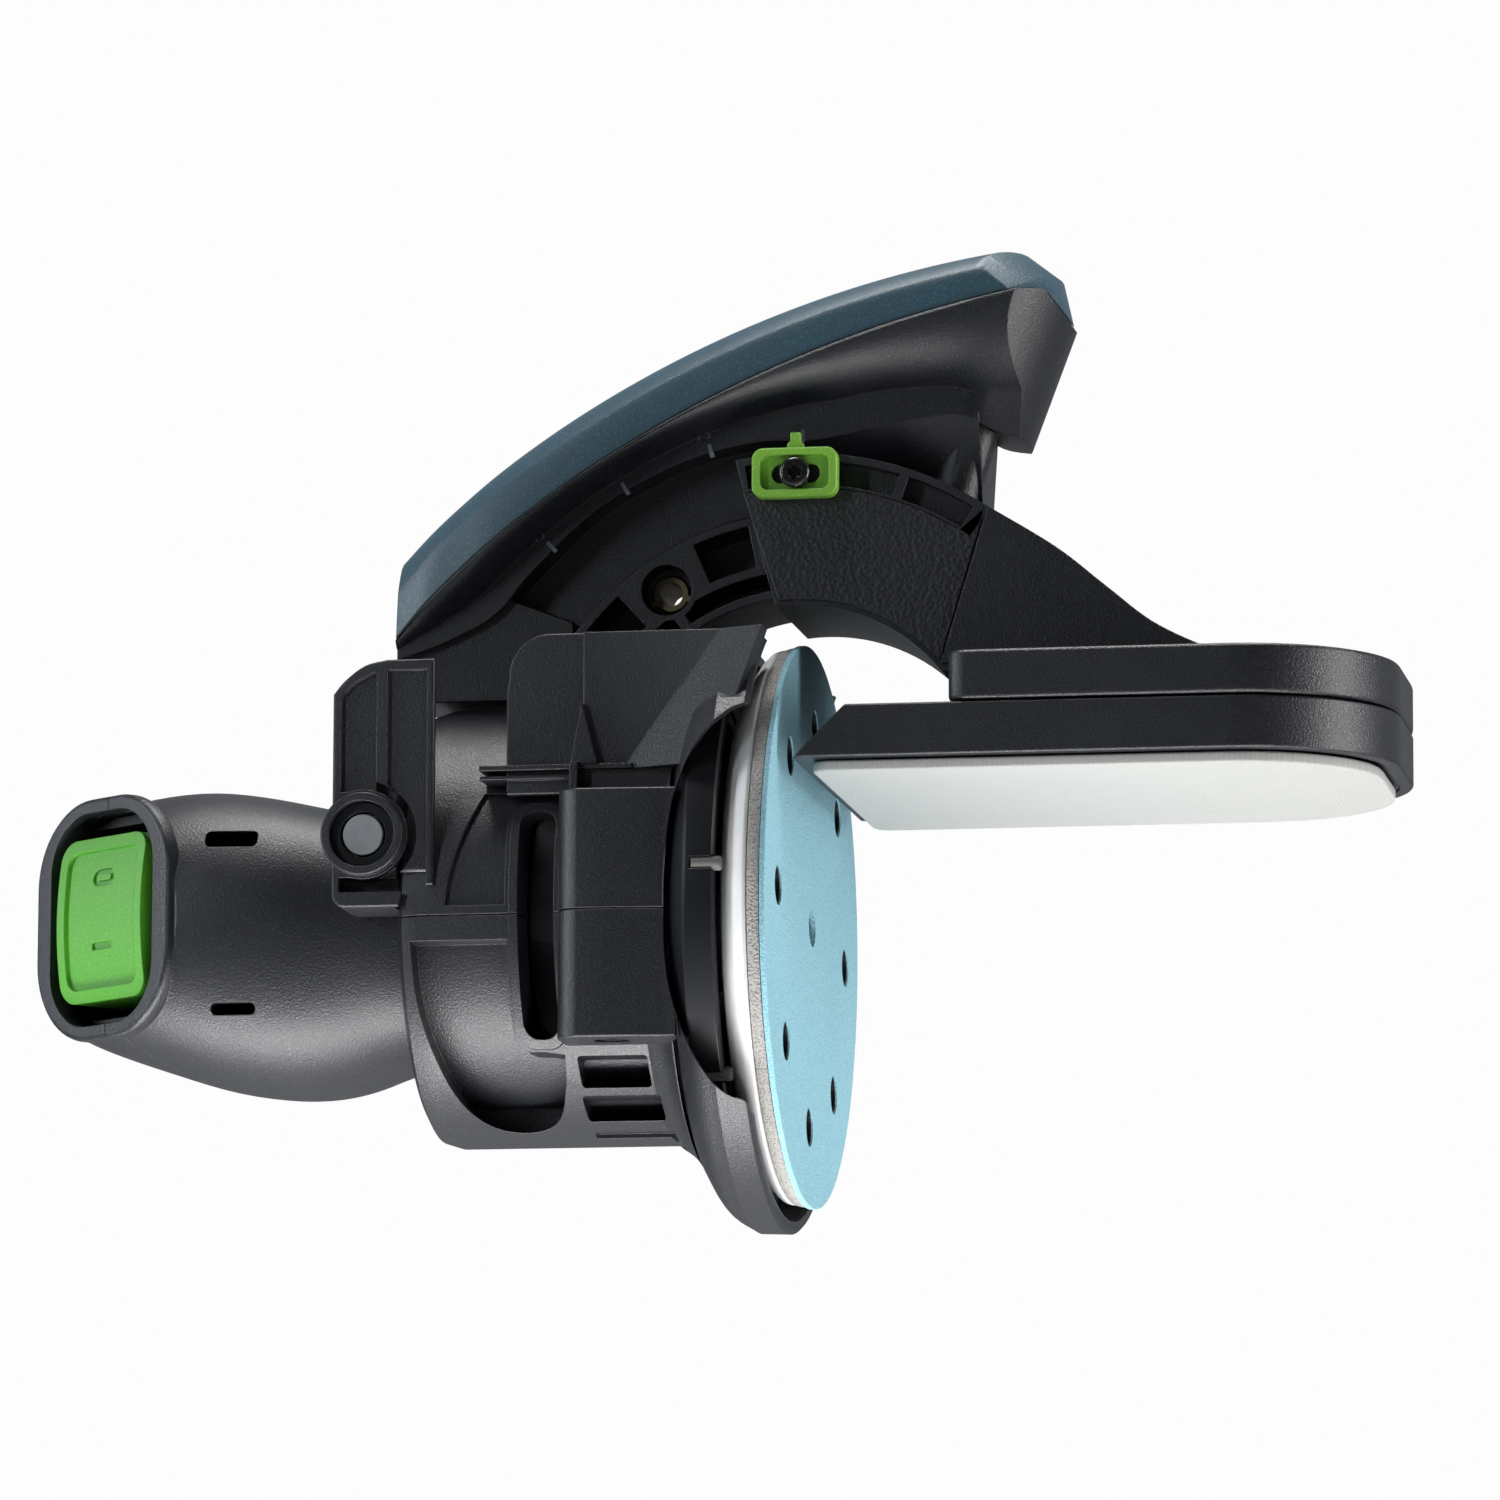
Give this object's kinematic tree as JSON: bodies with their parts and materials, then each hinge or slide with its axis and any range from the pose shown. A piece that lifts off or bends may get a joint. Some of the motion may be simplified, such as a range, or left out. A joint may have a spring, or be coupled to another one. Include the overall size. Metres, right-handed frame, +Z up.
{
  "type": "orbital sander",
  "caption": "Edge sander: a random-orbit sander on its side in an angle guide, with an arched palm handle, a pivoting felt-lined slide shoe, an angle scale and a dust port.",
  "frame": {"origin": "centre of the felt slide face of the shoe, which lies on the workpiece", "axes": "+Z up out of the workpiece, +X from the abrasive disc towards the shoe's round end, along the motor axis, +Y towards the side with the dust port and the clamp knob"},
  "size_m": [0.3086, 0.1445, 0.218],
  "materials": {
    "black_plastic": "fine spark-eroded grain",
    "smooth_black_plastic": "smooth, semi-gloss",
    "petrol_plastic": "dark petrol, soft matt grain",
    "switch_green": "satin green",
    "pointer_green": "satin light green",
    "abrasive_film": "coated abrasive grit, pale blue",
    "interface_foam": "grey foam with a cut edge",
    "pad_polymer": "white moulded polyurethane",
    "felt": "light grey fine felt",
    "grey_rubber": "matt rubber",
    "circuit_board": "green lacquer",
    "copper_winding": "enamelled wire",
    "bright_steel": "turned steel",
    "dark_steel": "blackened steel",
    "cast_aluminium": "cast, machined",
    "dark_brass": "dull threaded brass"
  },
  "bodies": {
    "guide": {"grip_shell_front": "black_plastic", "grip_shell_rear": "black_plastic", "switch_module": "smooth_black_plastic", "motor_carrier": "smooth_black_plastic", "motor_bearing_rear": "bright_steel", "motor_bearing_front": "bright_steel", "stator": "copper_winding", "control_board": "circuit_board", "fan_housing": "smooth_black_plastic", "brake_ring": "black_plastic", "brake_pin_1": "grey_rubber", "brake_pin_2": "grey_rubber", "brake_pin_3": "grey_rubber", "brake_pin_4": "grey_rubber", "guide_frame_upper": "black_plastic", "guide_frame_lower": "black_plastic", "frame_screw_1": "dark_steel", "frame_screw_2": "dark_steel", "frame_screw_3": "dark_steel", "clamp_block": "black_plastic", "clamp_bush": "smooth_black_plastic", "clamp_pin": "bright_steel", "arc_rail": "black_plastic", "rail_insert": "dark_brass", "handle_base": "black_plastic", "handle_cap": "petrol_plastic", "handle_screw_1": "dark_steel", "handle_screw_2": "dark_steel", "handle_screw_3": "dark_steel", "dust_port": "black_plastic", "cord_inlet": "smooth_black_plastic"},
    "switch": {"switch_rocker": "switch_green"},
    "spindle": {"motor_shaft": "bright_steel", "rotor": "dark_steel", "fan": "smooth_black_plastic", "eccentric": "cast_aluminium"},
    "pad": {"pad_bearing": "bright_steel", "backing_pad": "pad_polymer", "pad_foam": "interface_foam", "abrasive_disc": "abrasive_film", "pad_screw": "dark_steel"},
    "shoe": {"sector_arm": "black_plastic", "shoe_upper": "black_plastic", "shoe_lower": "black_plastic", "shoe_screw_1": "dark_steel", "shoe_screw_2": "dark_steel", "shoe_screw_3": "dark_steel", "shoe_screw_4": "dark_steel", "slide_pad": "felt", "clamp_stud": "bright_steel", "pointer_screw": "dark_steel"},
    "knob": {"clamp_knob": "black_plastic"},
    "pointer": {"angle_pointer": "pointer_green"}
  },
  "joints": [
    {"name": "switch_press", "type": "hinge", "parent": "guide", "child": "switch", "pos_m": [-0.21759, -0.01212, -0.0255], "axis": [0.788, -0.6157, 0], "range_deg": [0, 8]},
    {"name": "spindle_spin", "type": "hinge", "parent": "guide", "child": "spindle", "pos_m": [-0.14825, 0, -0.027], "axis": [1, 0, 0], "continuous": true},
    {"name": "pad_spin", "type": "hinge", "parent": "spindle", "child": "pad", "pos_m": [-0.08825, 0, -0.028], "axis": [1, 0, 0], "continuous": true},
    {"name": "angle_adjust", "type": "hinge", "parent": "guide", "child": "shoe", "pos_m": [-0.06775, 0, 0], "axis": [0, -1, 0], "range_deg": [-2, 45]},
    {"name": "knob_turn", "type": "hinge", "parent": "shoe", "child": "knob", "pos_m": [-0.06775, 0.023, 0.07], "axis": [0, 1, 0], "range_deg": [-120, 0]},
    {"name": "pointer_slide", "type": "slide", "parent": "shoe", "child": "pointer", "axis": [1, 0, 0], "range_m": [-0.002, 0.002]}
  ]
}
